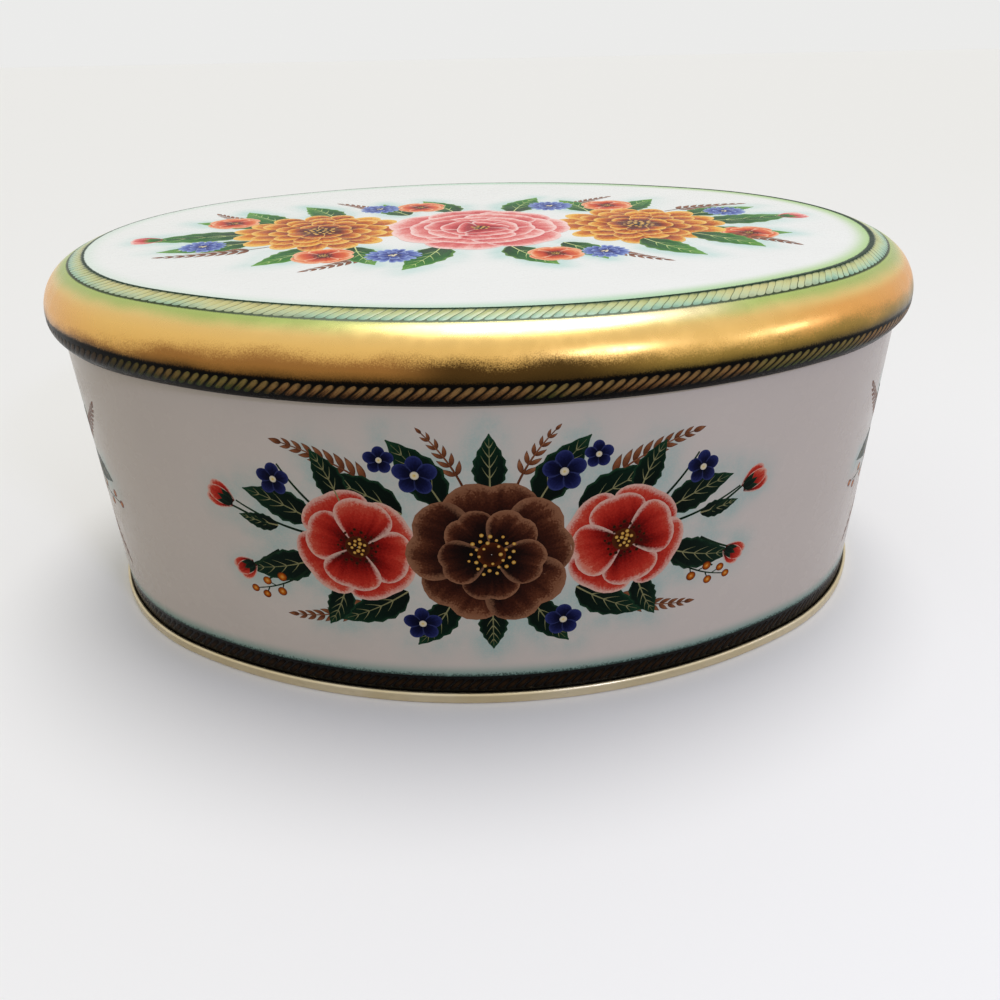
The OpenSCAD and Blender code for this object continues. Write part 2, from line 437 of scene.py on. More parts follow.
def lid_look():
    look = Look("gold_lid_print")
    place = look.place()
    x, y, _ = look.axes(place)
    v = look.print_map()
    grain = look.swing(place, 4200.0, 1.0)
    panel = panel_white(look, place, x, v, grain)
    gold = shoulder_gold(look, place, x, y, v, grain)
    colour = look.mix(look.math("GREATER_THAN", v, 2.0), panel, gold)
    colour = rope_ground(look, colour, x, v, grain)
    # Black ground of the lower rope
    deep = look.plus(v, look.span(x, -0.08, -0.06, 0.5, 0.0))
    black = look.span(look.shifted(deep, grain, 0.9), 15.2, 15.9)
    colour = look.mix(black, colour, BLACK_INK)
    metal = look.times(look.span(v, 3.3, 5.0), look.math("SUBTRACT", 1.0, black))
    metal = look.times(metal, 0.82)
    rough = look.span(look.noise(place, 260.0, 4.0), 0.3, 0.75, 0.24, 0.34)
    look.bump(look.noise(place, 300.0, 2.0), 0.015, 0.00005)
    return look.finish(Base_Color=colour, Roughness=rough, Metallic=metal, Specular_IOR_Level=INK_GLOSS)


def lacquer_look():
    look = Look("pale_gold_lacquer")
    place = look.place()
    lines = look.noise(look.scaled(place, 30.0, 900.0, 900.0), 1.0, 3.0)
    cloud = look.noise(place, 45.0, 4.0)
    colour = look.mix(look.span(cloud, 0.3, 0.72), srgb(228, 214, 182), srgb(212, 194, 152))
    colour = look.mix(look.span(lines, 0.52, 0.8, 0.0, 0.3), colour, srgb(176, 154, 112))
    rough = look.shifted(look.span(lines, 0.3, 0.7, 0.24, 0.36), cloud, 0.08)
    look.bump(lines, 0.08, 0.00004)
    look.finish(Metallic=0.88, Coat_Weight=0.15, Coat_Roughness=0.2)
    return look.finish(Base_Color=colour, Roughness=rough)


def ink_look(name, stops, rim=None, streak=0.22, grain=0.16, sway=0.16, drift=None, left_painted_shade=0.0,
             gloss=INK_GLOSS, tip=True):
    """Printed ink shaded from the foot of a patch to its tip, with streaks along it and print grain.
    A rim runs along its sides and, where asked, its tip. Patches sway from one to the next, a drift colour
    comes and goes from one stretch to another, and the ink may be darkened towards the tin's left end as
    painted shade."""
    look = Look("ink_" + name)
    place = look.place()
    along, across, tone = look.axes(look.attribute("ink", "Vector"))
    seed = look.times(tone, 37.0)
    lines = look.swing(look.vector(look.times(across, 4.5), look.times(along, 0.9), seed), 1.0, 3.0)
    dots = look.swing(place, 2600.0, 1.0)
    depth = look.shifted(along, lines, 2 * streak)
    depth = look.shifted(depth, dots, 2 * grain)
    depth = look.shifted(depth, look.math("SUBTRACT", tone, 0.5), sway)
    depth = look.shifted(depth, across, 0.1)
    colour = look.ramp(depth, stops)
    if drift:
        stretch = look.span(look.noise(place, 28.0, 2.0), 0.5, 0.62, 0.0, 0.7)
        colour = look.mix(stretch, colour, look.mix(0.5, colour, srgb(*drift)))
    if rim:
        rim_rgb, amount, start = rim
        edge = look.math("ABSOLUTE", across)
        if tip:
            edge = look.math("MAXIMUM", edge, along)
        edge = look.shifted(edge, dots, 0.12)
        colour = look.mix(look.span(edge, start, 1.0, 0.0, amount), colour, srgb(*rim_rgb))
    # Painted shade: the ink darkens towards the tin's left end
    if left_painted_shade:
        x = look.axes(place)[0]
        colour = look.mix(look.span(x, -0.08, -0.05, left_painted_shade, 0.0), colour, BLACK_INK)
    rough = look.span(look.noise(place, 240.0, 3.0), 0.3, 0.75, 0.24, 0.36)
    return look.finish(Base_Color=colour, Roughness=rough, Specular_IOR_Level=gloss)


# Inks: colours from foot to tip, and the rim's colour, amount and start
INKS = {
    "coral": dict(
        stops=[(0.2, (84, 10, 8)), (0.45, (158, 26, 20)), (0.72, (204, 52, 38)), (0.92, (220, 84, 62)),
               (1.0, (234, 130, 104))],
        rim=((246, 206, 184), 0.8, 0.86)),
    "maroon": dict(
        stops=[(0.25, (12, 5, 4)), (0.5, (32, 12, 8)), (0.74, (64, 28, 17)), (0.92, (100, 54, 34)),
               (1.0, (140, 90, 62))],
        rim=((168, 118, 86), 0.6, 0.86)),
    "pink": dict(
        stops=[(0.45, (164, 34, 42)), (0.68, (208, 76, 78)), (0.88, (232, 132, 124)), (1.0, (244, 186, 176))],
        rim=((252, 222, 212), 0.7, 0.88)),
    "amber": dict(
        stops=[(0.2, (96, 26, 4)), (0.45, (158, 62, 8)), (0.74, (204, 108, 16)), (1.0, (232, 166, 56))],
        rim=((246, 208, 118), 0.6, 0.86)),
    "zinnia": dict(
        stops=[(0.5, (92, 24, 4)), (0.7, (164, 64, 8)), (0.88, (214, 120, 20)), (1.0, (238, 176, 64))],
        rim=((248, 212, 120), 0.6, 0.88)),
    "orange": dict(
        stops=[(0.2, (112, 18, 8)), (0.45, (192, 54, 22)), (0.75, (222, 96, 44)), (1.0, (240, 152, 98))],
        rim=((250, 204, 166), 0.7, 0.84)),
    "navy": dict(
        stops=[(0.0, (5, 6, 18)), (0.5, (14, 17, 52)), (1.0, (40, 46, 98))],
        rim=((66, 74, 124), 0.5, 0.84)),
    "blue": dict(
        stops=[(0.2, (22, 26, 88)), (0.55, (52, 68, 148)), (1.0, (124, 146, 204))],
        rim=((176, 192, 228), 0.6, 0.84)),
    "leaf": dict(
        stops=[(0.0, (5, 14, 9)), (0.5, (8, 26, 17)), (1.0, (18, 48, 30))],
        rim=((44, 84, 54), 0.5, 0.78), streak=0.3),
    "bright_leaf": dict(
        stops=[(0.0, (10, 52, 20)), (0.5, (28, 100, 30)), (1.0, (76, 142, 44))],
        rim=((132, 178, 76), 0.5, 0.78), streak=0.34),
    "vein": dict(stops=[(0.0, (158, 150, 104)), (1.0, (104, 110, 72))], streak=0.05),
    "bright_vein": dict(stops=[(0.0, (214, 222, 150)), (1.0, (150, 190, 92))], streak=0.05),
    "stem": dict(stops=[(0.0, (14, 34, 20)), (1.0, (34, 58, 34))], streak=0.1),
    "sprig": dict(
        stops=[(0.0, (92, 48, 28)), (0.6, (146, 88, 56)), (1.0, (182, 124, 86))],
        rim=((62, 28, 16), 0.8, 0.66)),
    "centre": dict(stops=[(0.0, (30, 12, 6)), (0.6, (52, 20, 8)), (1.0, (88, 40, 14))], streak=0.1),
    "pollen": dict(stops=[(0.0, (248, 214, 122)), (1.0, (206, 138, 44))], streak=0.05),
    "pale": dict(stops=[(0.0, (246, 206, 88)), (0.6, (246, 232, 196)), (1.0, (214, 202, 180))], streak=0.05),
    "berry": dict(
        stops=[(0.0, (248, 190, 92)), (0.45, (212, 108, 24)), (1.0, (112, 38, 8))],
        rim=((80, 26, 8), 0.5, 0.8), streak=0.08),
    "rope_top": dict(
        stops=[(0.0, (126, 166, 138)), (0.2, (162, 198, 162)), (0.45, (188, 206, 152)),
               (0.7, (194, 198, 130)), (0.9, (172, 176, 104)), (1.0, (116, 128, 72))],
        rim=((70, 84, 44), 0.8, 0.84), streak=0.16, grain=0.06, sway=0.22, drift=(230, 206, 138), gloss=0.5),
    # The lower rope carries painted shade towards the tin's left end
    "rope_low": dict(
        stops=[(0.0, (36, 24, 14)), (0.25, (92, 62, 36)), (0.5, (146, 104, 62)), (0.75, (172, 130, 78)),
               (1.0, (126, 98, 60))],
        rim=((7, 5, 3), 0.98, 0.38), streak=0.5, grain=0.24, drift=(96, 128, 58), left_painted_shade=0.85, tip=False),
    "rope_base": dict(
        stops=[(0.0, (12, 8, 5)), (0.5, (50, 33, 18)), (1.0, (16, 11, 7))],
        rim=((7, 5, 4), 0.9, 0.4), streak=0.3, grain=0.12, tip=False),
}
ink_materials = {}


def ink_material(name):
    if name not in ink_materials:
        ink_materials[name] = ink_look(name, **INKS[name])
    return ink_materials[name]


# Mesh building

def mesh_piece(name, points, faces, materials, body, face_material=None, smooth=True):
    mesh = bpy.data.meshes.new(name)
    mesh.from_pydata((np.asarray(points) * MM).tolist(), [], faces)
    for material in materials:
        mesh.materials.append(material)
    mesh.polygons.foreach_set("use_smooth", np.full(len(mesh.polygons), smooth))
    if face_material is not None:
        mesh.polygons.foreach_set("material_index", np.asarray(face_material, np.int32))
    mesh.update()
    piece = bpy.data.objects.new(name, mesh)
    bpy.context.collection.objects.link(piece)
    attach(piece, body)
    return piece


def sweep(name, rings, heights, materials, row_material, body, closed):
    """Piece made of rings that follow one another up its outer side, with print coordinates.
    Rings that don't close on the first one end in flat caps."""
    rings = np.array(rings)
    heights = np.asarray(heights, float)
    rows, count = rings.shape[:2]
    first = np.arange(rows if closed else rows - 1)
    after = (first + 1) % rows
    here = np.arange(count)
    there = (here + 1) % count
    corners = [(first, here), (first, there), (after, there), (after, here)]
    quads = np.stack([row[:, None] * count + column for row, column in corners], axis=-1).reshape(-1, 4)
    wrapped = np.append(columns, PERIMETER)
    u = np.stack([wrapped[:-1], wrapped[1:], wrapped[1:], wrapped[:-1]], axis=-1)
    u = np.broadcast_to(u, (len(first), count, 4))
    low = heights[first][:, None]
    high = heights[after][:, None]
    v = np.broadcast_to(np.stack([low, low, high, high], axis=-1), (len(first), count, 4))
    faces = quads.tolist()
    face_material = np.repeat(np.asarray(row_material)[first], count).tolist()
    uv = np.stack([u, v], axis=-1).reshape(-1, 2)
    if not closed:
        faces.append(here[::-1].tolist())
        faces.append(((rows - 1) * count + here).tolist())
        face_material += [row_material[0], row_material[-1]]
        caps = [np.stack([columns[::-1], np.full(count, heights[0])], axis=-1),
                np.stack([columns, np.full(count, heights[-1])], axis=-1)]
        uv = np.concatenate([uv] + caps)
    piece = mesh_piece(name, rings.reshape(-1, 3), faces, materials, body, face_material)
    layer = piece.data.uv_layers.new(name="Print")
    layer.data.foreach_set("uv", uv.astype(np.float32).ravel())
    return piece


def set_glow(piece, glow):
    attribute = piece.data.attributes.new("glow", "FLOAT", "POINT")
    attribute.data.foreach_set("value", glow.astype(np.float32).ravel())


def column_places():
    """Even columns round the oval, with close ones at the lock seam's edges and groove."""
    groove = LOCK_WIDTH / 2 + np.array([0.0, GROOVE_EDGE, GROOVE_WIDTH - GROOVE_EDGE, GROOVE_WIDTH])
    lock = np.array([-LOCK_WIDTH / 2 - LOCK_RUN, -LOCK_WIDTH / 2, LOCK_WIDTH / 2 - LOCK_RUN])
    extra = BACK - np.concatenate([groove, lock])
    even = np.linspace(0, PERIMETER, COLUMNS, endpoint=False)
    clear = np.abs(even[:, None] - extra[None, :]).min(axis=1) > COLUMN_GAP
    return np.sort(np.concatenate([even[clear], extra]))


columns = column_places()
column_x, column_y = ring(columns, 0.0, 0.0)[:, :2].T
past_lock = column_x - LOCK_WIDTH / 2
within_groove = (past_lock > GROOVE_EDGE / 2) & (past_lock < GROOVE_WIDTH - GROOVE_EDGE / 2)
in_groove = (column_y > 0) & within_groove
in_lock = (column_y > 0) & (np.abs(column_x) <= LOCK_WIDTH / 2 - GROOVE_EDGE / 2)


# Printed motifs: grids of x, y, place along the patch and place across it

def petal(length, width, foot=0.3, dome=0.5, notch=0.0):
    """Fan-shaped petal along +x with a domed tip, which may be notched."""
    u = np.linspace(0, 1, 8)[:, None]
    turn = np.linspace(-math.pi / 2, math.pi / 2, 13)[None, :]
    v = np.sin(turn)
    reach = 1 - dome + dome * np.cos(turn) - notch * np.exp(-(v / 0.25) ** 2)
    x = length * u * reach
    y = width / 2 * (foot + (1 - foot) * np.sin(u * math.pi / 2)) * v
    return x, y, u + 0 * v, v + 0 * u


def spine(length, bend, u):
    """Point and heading along a curved line that turns evenly by bend, in radians."""
    half = bend * u / 2
    x = length * u * np.sinc(bend * u / math.pi)
    y = length * u * half * np.sinc(half / math.pi) ** 2
    return x, y, bend * u


def ribbon(length, bend, half, u, v):
    """Patch of half-width half along a curved line."""
    x, y, heading = spine(length, bend, u)
    return x - half * v * np.sin(heading), y + half * v * np.cos(heading), u + 0 * v, v + 0 * u


# Power that shifts the widest place of a leaf towards its foot
LEAF_BELLY = 0.72


def blade(length, width, bend=0.0, belly=LEAF_BELLY, waves=0, wave_depth=0.0):
    """Pointed leaf or leaflet along +x, with wavy edges where asked."""
    u = np.linspace(0, 1, 25)[:, None]
    half = width / 2 * np.maximum(np.sin(math.pi * u ** belly) ** 0.95, 0.03)
    half = half * (1 + wave_depth * np.sin(2 * math.pi * waves * u))
    return ribbon(length, bend, half, u, np.linspace(-1, 1, 7)[None, :])


def strip(length, bend, wide, narrow, steps=14):
    """Tapered line along +x."""
    u = np.linspace(0, 1, steps)[:, None]
    half = (wide + (narrow - wide) * u) / 2
    return ribbon(length, bend, half, u, np.linspace(-1, 1, 3)[None, :])


def disc(radius):
    u = np.linspace(0.04, 1, 4)[:, None]
    turn = np.linspace(0, 2 * math.pi, 15)[None, :]
    return radius * u * np.cos(turn), radius * u * np.sin(turn), u + 0 * turn, 0 * u + 0 * turn


def moved(at, turn, x, y):
    """Local coordinates turned and carried to a place."""
    return at[0] + x * math.cos(turn) - y * math.sin(turn), at[1] + x * math.sin(turn) + y * math.cos(turn)


def double_rows(rings, near, width, twist, form):
    """Rows of a double flower. Rings give the count of petals and their reach, near(reach) the inner radius,
    width the share of the ring that the petals fill, and twist how far the rows turn with their reach."""
    rows = []
    for count, reach in rings:
        rows.append((count, near(reach), reach, 2 * math.pi * reach / count * width, twist * reach, form))
    return rows


# Flowers: rows of petals as count, inner and outer radius, width, turn and the petals' form, the disc in the
# centre as ink and radius, and rings of dots as ink, count, inner and outer radius and size.
# Lengths are shares of the flower's radius
FLOWERS = {
    "wild_rose": dict(
        rows=[(5, 0.1, 1.0, 1.06, 0.0, dict(foot=0.2, dome=0.42, notch=0.1)),
              (5, 0.06, 0.66, 0.66, 0.63, dict(foot=0.2, dome=0.45, notch=0.08))],
        centre=[("centre", 0.17)],
        dots=[("pollen", 30, 0.1, 0.3, 0.022)]),
    "poppy": dict(
        rows=[(4, 0.08, 1.0, 1.2, 0.0, dict(foot=0.2, dome=0.4, notch=0.03)),
              (4, 0.06, 0.86, 0.98, 0.78, dict(foot=0.2, dome=0.42, notch=0.05))],
        centre=[("centre", 0.2)],
        dots=[("centre", 22, 0.22, 0.33, 0.026), ("pollen", 12, 0.0, 0.15, 0.028)]),
    "star": dict(
        rows=[(5, 0.1, 1.0, 0.82, 0.0, dict(foot=0.25, dome=0.5))],
        centre=[("pale", 0.2)],
        dots=[]),
    "zinnia": dict(
        rows=double_rows(((15, 1.0), (13, 0.8), (11, 0.6), (8, 0.4)), lambda reach: 0.12 * reach, 0.86, 1.0,
                         dict(foot=0.35, dome=0.28)),
        centre=[("centre", 0.15)],
        dots=[("pollen", 20, 0.02, 0.19, 0.024)]),
    "camellia": dict(
        rows=double_rows(((7, 1.0), (6, 0.79), (6, 0.6), (5, 0.42), (3, 0.25)), lambda reach: 0.05, 0.98, 2.4,
                         dict(foot=0.3, dome=0.36, notch=0.04)),
        centre=[("centre", 0.08)],
        dots=[("pollen", 10, 0.0, 0.1, 0.018)]),
    "cornflower": dict(
        rows=[(9, 0.12, 1.0, 0.52, 0.0, dict(foot=0.2, dome=0.2, notch=0.2)),
              (6, 0.08, 0.58, 0.36, 0.3, dict(foot=0.25, dome=0.3, notch=0.15))],
        centre=[],
        dots=[("pale", 5, 0.02, 0.14, 0.05)]),
}


class Spray:
    """Flat patches of print, x to the right and y up. Later patches lie over earlier ones.
    Motifs take x, y, degrees and mostly a bend, and place() turns these into a point, a turn and a bend."""

    def __init__(self, seed, leaf_ink, vein_ink):
        self.patches = []
        self.random = random.Random(seed)
        self.leaf_ink = leaf_ink
        self.vein_ink = vein_ink
        self.place = mirrored(1)
        cells = int(2 * FILM_MAP / FILM_CELL)
        self.films = np.zeros((cells, cells), int)

    def jitter(self, amount):
        return self.random.uniform(-amount, amount)

    def add(self, sheet, ink, grid, at, turn=0.0):
        self.add_group(sheet, ink, [(grid, at, turn)])

    def add_group(self, sheet, ink, group):
        """Patches that share one film, each as its grid, place and turn."""
        made = []
        for (x, y, along, across), at, turn in group:
            x, y = moved(at, turn, x, y)
            tone = self.random.random()
            patch = dict(sheet=sheet, ink=ink, x=x, y=y, along=along, across=across, tone=tone)
            patch["cells"] = (self.cells(x), self.cells(y))
            made.append(patch)
        layer = max(self.films[patch["cells"]].max() for patch in made) + 1
        for patch in made:
            self.films[patch.pop("cells")] = layer
            patch["layer"] = layer
        self.patches += made

    def cells(self, grid):
        """Map cells under a patch, from points set closely between those of its grid."""
        rows, count = grid.shape
        fine_rows = np.linspace(0, rows - 1, 6 * rows)
        fine_count = np.linspace(0, count - 1, 5 * count)
        grid = np.stack([np.interp(fine_rows, np.arange(rows), column) for column in grid.T], axis=-1)
        grid = np.stack([np.interp(fine_count, np.arange(count), row) for row in grid])
        return ((grid.ravel() + FILM_MAP) / FILM_CELL).astype(int)

    def row(self, at, ink, count, near, far, width, turn, form):
        """A ring of petals that reach from one radius to another, every second one over its neighbours."""
        even = count - count % 2
        for chosen in (range(0, even, 2), range(even, count), range(1, even, 2)):
            group = []
            for i in chosen:
                angle = turn + 2 * math.pi * i / count + self.jitter(0.05)
                length = (far - near) * (1 + self.jitter(0.05))
                shaped = petal(length, width * (1 + self.jitter(0.06)), **form)
                group.append((shaped, moved(at, angle, near, 0.0), angle))
            if group:
                self.add_group("petals", ink, group)

    def dots(self, at, ink, count, near, far, size):
        """Dots on a sunflower spiral between two radii."""
        group = []
        for i in range(count):
            radius = math.sqrt(near ** 2 + (far ** 2 - near ** 2) * (i + 0.5) / count)
            point = moved(at, i * math.pi * (3 - math.sqrt(5)), radius, 0.0)
            group.append((disc(size * (1 + self.jitter(0.2))), point, 0.0))
        self.add_group("details", ink, group)

    def each(self, draw, rows):
        for row in rows:
            draw(*row)

    def flower(self, kind, ink, x, y, degrees, radius):
        at, turn, _ = self.place(x, y, degrees)
        flower = FLOWERS[kind]
        for count, near, far, width, offset, form in flower["rows"]:
            self.row(at, ink, count, near * radius, far * radius, width * radius, turn + offset, form)
        for centre_ink, size in flower["centre"]:
            self.add("details", centre_ink, disc(size * radius), at)
        for dot_ink, count, near, far, size in flower["dots"]:
            self.dots(at, dot_ink, count, near * radius, far * radius, size * radius)

    def leaf(self, x, y, degrees, length, width, bend):
        at, turn, bend = self.place(x, y, degrees, bend)
        self.add("leaves", self.leaf_ink, blade(length, width, bend, waves=6, wave_depth=0.07), at, turn)
        group = []
        for u in (0.24, 0.42, 0.6, 0.76):
            x, y, heading = spine(length, bend, u)
            half = width / 2 * math.sin(math.pi * u ** LEAF_BELLY)
            for side in (1, -1):
                line = strip(0.95 * half, -side * 0.35, 0.24, 0.06, 5)
                group.append((line, moved(at, turn, x, y), turn + heading + side * 0.72))
        self.add_group("details", self.vein_ink, group)
        self.add("details", self.vein_ink, strip(0.92 * length, 0.92 * bend, 0.36, 0.1), at, turn)

    def fern(self, x, y, degrees, length, bend):
        at, turn, bend = self.place(x, y, degrees, bend)
        count = int(length / 2.7)
        group = []
        for i in range(count):
            u = 0.2 + 0.76 * i / count
            x, y, heading = spine(length, bend, u)
            size = (1.6 + 0.15 * length) * (1 - 0.6 * u)
            for side in (1, -1):
                leaflet = blade(size, 0.34 * size, -side * 0.4, belly=0.8)
                group.append((leaflet, moved(at, turn, x, y), turn + heading + side * (0.95 - 0.4 * u)))
        x, y, heading = spine(length, bend, 0.95)
        group.append((blade(0.12 * length, 0.05 * length), moved(at, turn, x, y), turn + heading))
        self.add_group("details", "sprig", group)
        self.add("details", "sprig", strip(length, bend, 0.5, 0.2), at, turn)

    def stem(self, x, y, degrees, length, bend):
        at, turn, bend = self.place(x, y, degrees, bend)
        self.add("details", "stem", strip(length, bend, 0.6, 0.4), at, turn)

    def berries(self, x, y, degrees, length, bend):
        at, turn, bend = self.place(x, y, degrees, bend)
        stems = [(strip(length, bend, 0.5, 0.25), at, turn)]
        fruit = []
        for i, u in enumerate((0.4, 0.58, 0.74, 0.88, 1.0)):
            side = 1 if i % 2 else -1
            x, y, heading = spine(length, bend, u)
            foot = moved(at, turn, x, y)
            angle = turn + heading + side * 0.8 * (u < 1)
            stems.append((strip(2.0, 0.0, 0.3, 0.2, 4), foot, angle))
            fruit.append((disc(1.25 - 0.3 * u), moved(foot, angle, 2.2, 0.0), 0.0))
        self.add_group("details", "stem", stems)
        self.add_group("details", "berry", fruit)

    def bud(self, ink, x, y, degrees, size):
        at, turn, _ = self.place(x, y, degrees)
        foot = moved(at, turn, -1.5 * size, 0.0)
        self.add("details", "stem", strip(1.6 * size, 0.15, 0.6, 0.45), foot, turn)
        for angle in (0.34, -0.34, 0.0):
            self.add("petals", ink, petal(size, 0.62 * size, foot=0.5, dome=0.5), at, turn + angle)
        for angle in (0.55, -0.55, 0.0):
            self.add("leaves", self.leaf_ink, blade(0.6 * size, 0.26 * size, -0.3 * angle), at, turn + angle)


def mirrored(side):
    """Placing on the right half of a spray, or its mirror image on the left half."""
    def place(x, y, degrees, bend=0.0):
        angle = math.radians(degrees)
        if side > 0:
            return (x, y), angle, bend
        return (-x, y), math.pi - angle, -bend
    return place


LID_SPREAD = 1.1


def turned(half):
    """Placing on the lid, or its half-turn about the middle."""
    spread = LID_SPREAD * (1 - 2 * half)

    def place(x, y, degrees, bend=0.0):
        return (spread * x, spread * y), math.radians(degrees) + math.pi * half, bend
    return place


def wall_spray():
    """Spray on the front and the back: a dark wild rose between two coral poppies."""
    spray = Spray(11, "leaf", "vein")
    for side in (1, -1):
        spray.place = mirrored(side)
        spray.each(spray.fern, [(20, 13, 40, 23, -0.5), (22, -11, -34, 22, 0.55), (5, 15, 68, 14, -0.4)])
        spray.each(spray.stem, [(36, 3, 8, 17, 0.35), (34, -4, -12, 15, -0.4), (33, 8, 42, 13, 0.3)])
        spray.each(spray.leaf, [
            (9, 11, 64, 17, 8.0, -0.35), (17, 9, 34, 18, 7.6, -0.3), (8, -11, -66, 14, 7.0, 0.35),
            (17, -9, -38, 17, 7.4, 0.3), (35, 6, 30, 16, 7.0, -0.35), (36, -3, -26, 17, 7.4, 0.35),
            (29, 11, 74, 12, 6.0, -0.3), (30, -9, -74, 11, 5.8, 0.3), (43, 4, 2, 9, 3.8, 0.2),
        ])
        spray.berries(38, -6, -44, 13, 0.5)
        spray.each(spray.bud, [("coral", 53, 7.5, 26, 6.2), ("coral", 50.5, -6.5, -34, 5.4)])
        for x, y, radius in ((14, 17.5, 4.3), (42.5, 14.5, 3.6), (14.5, -17, 4.0), (20.5, 20.5, 3.0)):
            spray.flower("star", "navy", x, y, 90, radius)
        spray.flower("poppy", "coral", 26.5, 1.0, 60, 12.8)
    spray.place = mirrored(1)
    spray.leaf(0, 14, 90, 12, 6.4, 0.0)
    spray.leaf(0, -13, -90, 10.5, 6.0, 0.0)
    spray.flower("wild_rose", "maroon", 0, 0, 90, 16.8)
    return spray


def end_spray():
    """Spray on the two ends: one amber poppy among leaves and ferns."""
    spray = Spray(23, "leaf", "vein")
    for side in (1, -1):
        spray.place = mirrored(side)
        spray.each(spray.fern, [(26, 9, 20, 22, 0.5), (24, -9, -22, 20, -0.5), (8, 10, 62, 16, -0.4)])
        spray.each(spray.leaf, [
            (8, 7, 48, 19, 8.0, -0.4), (11, 2, 14, 21, 8.4, 0.35), (10, -4, -20, 20, 8.0, -0.35),
            (6, -9, -56, 15, 7.0, 0.4), (28, 3, 6, 16, 6.4, -0.3), (26, 9, 40, 12, 5.4, 0.3),
        ])
        spray.berries(22, -1.5, -6, 22, 0.1)
        for x, y, radius in ((17, 11, 4.2), (19, -10, 4.0), (24, 15, 3.2)):
            spray.flower("star", "navy", x, y, 90, radius)
        spray.flower("star", "coral", 24.5, 0.0, 30, 6.4)
    spray.place = mirrored(1)
    spray.flower("poppy", "amber", 0, 0, math.degrees(0.4), 13.0)
    return spray


def lid_spray():
    """Spray on the lid: a pink camellia between two amber zinnias, the same from front and back."""
    spray = Spray(37, "bright_leaf", "bright_vein")
    for half in (0, 1):
        spray.place = turned(half)
        spray.each(spray.fern, [
            (44, 14, 34, 24, -0.5), (20, 20, 62, 22, -0.5), (-22, 18, 118, 22, 0.5), (-48, 10, 156, 22, -0.5),
        ])
        spray.each(spray.leaf, [
            (50, 2, 4, 26, 10.5, 0.3), (48, 9, 32, 22, 9.5, -0.3), (47, -6, -26, 22, 9.5, 0.3),
            (34, 15, 66, 20, 9.0, -0.35), (26, 16, 100, 18, 8.5, 0.35), (8, 17, 78, 22, 9.5, -0.3),
            (-6, 18, 108, 20, 9.0, 0.35), (-17, 16, 126, 18, 8.5, -0.35), (-34, 14, 112, 20, 9.0, 0.35),
            (-45, 10, 140, 20, 9.0, -0.35),
        ])
        for x, y, radius in ((17.5, 24, 6.4), (-24.5, 24.5, 5.6), (58, 12.5, 5.6)):
            spray.flower("cornflower", "blue", x, y, 20, radius)
        for x, y, radius in ((31.5, 23, 7.2), (-14.5, 25.5, 6.6), (57, -11, 6.8)):
            spray.flower("poppy", "orange", x, y, 50, radius)
        spray.bud("pink", 69, 5, 12, 7.0)
        spray.flower("zinnia", "zinnia", 35.5, 0, 10, 20.5)
    spray.place = mirrored(1)
    spray.flower("camellia", "pink", 0, 0, math.degrees(0.3), 23.0)
    return spray


def film_piece(name, patches, body, smooth):
    """Piece of thin films of ink, closed on their undersides. Each patch has a grid of points, their places
    along and across it, its tone and its ink."""
    inks = sorted({patch[-1] for patch in patches})
    points, faces, coordinates, face_material = [], [], [], []
    start = 0
    for grid, along, across, tone, ink in patches:
        rows, count = along.shape
        corner = (start + np.arange(rows - 1)[:, None] * count + np.arange(count - 1)[None, :]).ravel()
        points.append(grid.reshape(-1, 3))
        faces.append(np.stack([corner, corner + count, corner + count + 1, corner + 1], axis=-1))
        coordinates.append(np.stack([along, across, np.full(along.shape, tone)], axis=-1).reshape(-1, 3))
        face_material += [inks.index(ink)] * len(corner)
        start += along.size
    points = np.concatenate(points)
    faces = np.concatenate(faces).tolist()
    materials = [ink_material(ink) for ink in inks]
    piece = mesh_piece(name, points, faces, materials, body, face_material, smooth)
    attribute = piece.data.attributes.new("ink", "FLOAT_VECTOR", "POINT")
    attribute.data.foreach_set("vector", np.concatenate(coordinates).astype(np.float32).ravel())
    film = piece.modifiers.new("film", "SOLIDIFY")
    film.thickness = FILM_DEPTH * MM
    film.offset = -1.0


def spray_pieces(spray, prefix, place, body):
    """One piece for each sheet of a spray, laid on a surface by place(x, y, lift)."""
    for sheet in ("leaves", "petals", "details"):
        patches = []
        for p in spray.patches:
            if p["sheet"] == sheet:
                grid = place(p["x"], p["y"], FILM_FIRST + FILM_STEP * p["layer"])
                patches.append((grid, p["along"], p["across"], p["tone"], p["ink"]))
        film_piece(prefix + "_" + sheet, patches, body, smooth=False)


def rope_piece(name, ink, surface, foot, tip, count, lean, relief, fill, blunt, body):
    """Border of slanting strands, each a low pillow from the profile distance foot to the one at its tip.
    The strands lean sideways and fill a share of their pitch. Blunter ones keep their width to the end."""
    rng = random.Random(name)
    pitch = PERIMETER / count
    across = np.array([-1.0, -0.9, -0.45, 0.0, 0.45, 0.9, 1.0])[:, None]
    t = np.sin(np.linspace(-math.pi / 2, math.pi / 2, 13))[None, :]
    half = pitch / 2 * fill * np.sqrt(np.maximum(1 - np.abs(t) ** blunt, 0.04))
    pillow = relief * (1 - across ** 2) * (1 - t ** 4)
    run = lean * (t + 0.08 * np.sin(math.pi * t)) / 2
    v = (foot + tip) / 2 + (tip - foot) / 2 * t + 0 * across
    along = t / 2 + 0.5 + 0 * across
    strands = []
    for i in range(count):
        width = 1 + rng.uniform(-0.07, 0.07)
        grid = surface(i * pitch + run + width * half * across, v, FILM_FIRST + pillow)
        strands.append((grid, along, across + 0 * t, rng.random(), ink))
    film_piece(name, strands, body, smooth=True)


